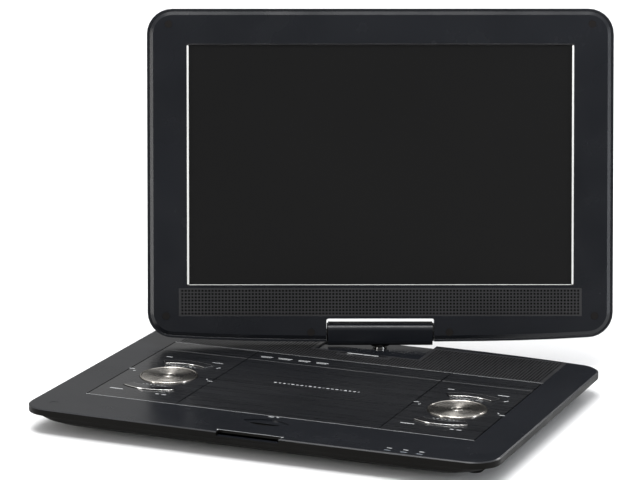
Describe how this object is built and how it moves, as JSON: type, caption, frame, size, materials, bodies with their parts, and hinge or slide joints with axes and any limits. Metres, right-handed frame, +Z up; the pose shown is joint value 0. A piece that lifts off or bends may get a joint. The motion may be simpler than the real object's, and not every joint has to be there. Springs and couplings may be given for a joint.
{
  "type": "portable dvd player",
  "caption": "Fold-open portable disc player: flat base with top-loading drive and round control pads, wide screen on a swivelling and tilting hinge.",
  "frame": {"origin": "on the ground under the middle of the base, in the plane of the rubber feet", "axes": "+Z up, +X to the user's right along the width of the base, +Y to the rear where the hinge is"},
  "size_m": [0.4076, 0.4151, 0.3084],
  "materials": {
    "gloss_black": "piano-gloss blue-black plastic, fine wiping marks",
    "brushed_black": "gloss black with a fine sideways hairline",
    "matte_black": "fine satin-matt black moulded plastic",
    "lattice_black": "small square lattice in satin black",
    "screen_glass": "dark anti-glare display film",
    "trim_black": "polished black edge",
    "spun_metal": "spun disc with concentric turning marks",
    "bright_metal": "polished chrome plating",
    "steel": "plain pressed steel",
    "rubber_black": "matt rubber",
    "board_green": "solder mask",
    "cell_wrap": "shrink wrap",
    "ivory_plastic": "slippery moulded plastic",
    "lens_clear": "clear moulded lens",
    "silver_mark": "silver-grey finish",
    "light_guide": "milky acrylic light guide in a thin frame",
    "brass_contact": "plated brass"
  },
  "bodies": {
    "base": {"base_top_case": "gloss_black", "base_bottom_case": "matte_black", "socket_panel": "matte_black", "left_control_panel": "brushed_black", "right_control_panel": "brushed_black", "rear_grille_panel": "lattice_black", "badge_plaque": "trim_black", "loader_deck": "matte_black", "loader_chassis": "steel", "loader_dampers": "rubber_black", "spindle_motor": "steel", "pickup_guide_rods": "steel", "sled_motor": "steel", "main_board": "board_green", "battery_pack": "cell_wrap", "left_key_board": "board_green", "right_key_board": "board_green", "dc_jack": "matte_black", "headphone_jack": "matte_black", "av_jack": "matte_black", "usb_port": "steel", "card_slot": "steel", "rubber_feet": "rubber_black", "case_screws": "steel", "screw_plugs": "gloss_black", "indicator_lights": "lens_clear", "swivel_bracket": "steel", "door_hinge_pins": "steel"},
    "disc_door": {"disc_door": "brushed_black"},
    "open_button": {"open_button": "matte_black"},
    "door_catch": {"door_catch": "ivory_plastic"},
    "turntable": {"turntable": "matte_black"},
    "pickup": {"optical_pickup": "matte_black", "pickup_lens": "lens_clear"},
    "lead_screw": {"lead_screw": "brass_contact"},
    "left_pad": {"left_pad": "spun_metal"},
    "right_pad": {"right_pad": "spun_metal"},
    "left_rear_rocker": {"left_rear_rocker": "trim_black"},
    "left_front_rocker": {"left_front_rocker": "trim_black"},
    "right_rear_rocker": {"right_rear_rocker": "trim_black"},
    "right_front_rocker": {"right_front_rocker": "trim_black"},
    "power_switch": {"power_switch": "matte_black"},
    "swivel": {"swivel_shaft": "bright_metal", "swivel_collar": "matte_black", "swivel_nut": "steel", "hinge_barrel": "gloss_black", "hinge_core": "steel", "tilt_shafts": "steel", "tilt_washers": "matte_black"},
    "screen": {"tilt_brackets": "steel", "screen_bezel": "gloss_black", "screen_rear_shell": "gloss_black", "lcd_panel": "screen_glass", "lcd_trim": "trim_black", "backlight_unit": "light_guide", "speaker_grille": "lattice_black", "speakers": "matte_black", "screen_board": "board_green", "screen_screw_covers": "rubber_black"}
  },
  "joints": [
    {"name": "swivel_turn", "type": "hinge", "parent": "base", "child": "swivel", "pos_m": [0, 0.13535, 0.0332], "axis": [0, 0, -1], "range_deg": [-157.46, 22.54]},
    {"name": "screen_tilt", "type": "hinge", "parent": "swivel", "child": "screen", "pos_m": [0, 0.13535, 0.0332], "axis": [-0.9236, -0.3833, 0], "range_deg": [-101.06, 78.94]},
    {"name": "door_open", "type": "hinge", "parent": "base", "child": "disc_door", "pos_m": [0, 0.07265, 0.0201], "axis": [-1, 0, 0], "range_deg": [0, 65]},
    {"name": "open_button_press", "type": "slide", "parent": "base", "child": "open_button", "axis": [0, 0, -1], "range_m": [0, 0.001], "stiffness_N_per_m": 400},
    {"name": "door_catch_slide", "type": "slide", "parent": "base", "child": "door_catch", "axis": [0, 1, 0], "range_m": [0, 0.0012]},
    {"name": "turntable_spin", "type": "hinge", "parent": "base", "child": "turntable", "pos_m": [0, -0.01395, 0], "axis": [0, 0, 1], "continuous": true},
    {"name": "pickup_slide", "type": "slide", "parent": "base", "child": "pickup", "axis": [1, 0, 0], "range_m": [0, 0.034]},
    {"name": "lead_screw_turn", "type": "hinge", "parent": "base", "child": "lead_screw", "pos_m": [0, -0.04095, 0.0097], "axis": [1, 0, 0], "range_deg": [0, 4090]},
    {"name": "left_pad_press", "type": "slide", "parent": "base", "child": "left_pad", "axis": [0, 0, -1], "range_m": [0, 0.0008], "stiffness_N_per_m": 1500},
    {"name": "right_pad_press", "type": "slide", "parent": "base", "child": "right_pad", "axis": [0, 0, -1], "range_m": [0, 0.0008], "stiffness_N_per_m": 1500},
    {"name": "left_rear_rocker_tip", "type": "hinge", "parent": "base", "child": "left_rear_rocker", "pos_m": [-0.1277, 0.0182, 0.0202], "axis": [0, 1, 0], "range_deg": [-2, 2], "stiffness_Nm_per_rad": 0.15},
    {"name": "left_front_rocker_tip", "type": "hinge", "parent": "base", "child": "left_front_rocker", "pos_m": [-0.1277, -0.0623, 0.0202], "axis": [0, 1, 0], "range_deg": [-2, 2], "stiffness_Nm_per_rad": 0.15},
    {"name": "right_rear_rocker_tip", "type": "hinge", "parent": "base", "child": "right_rear_rocker", "pos_m": [0.1277, 0.0182, 0.0202], "axis": [0, 1, 0], "range_deg": [-2, 2], "stiffness_Nm_per_rad": 0.15},
    {"name": "right_front_rocker_tip", "type": "hinge", "parent": "base", "child": "right_front_rocker", "pos_m": [0.1277, -0.0623, 0.0202], "axis": [0, 1, 0], "range_deg": [-2, 2], "stiffness_Nm_per_rad": 0.15},
    {"name": "power_switch_slide", "type": "slide", "parent": "base", "child": "power_switch", "axis": [0, 1, 0], "range_m": [0, 0.003]}
  ],
  "couplings": [
    {"joint": "door_catch_slide", "follows": "open_button_press", "ratio": 1.2},
    {"joint": "lead_screw_turn", "follows": "pickup_slide", "rad_per_m": 2094.4}
  ]
}
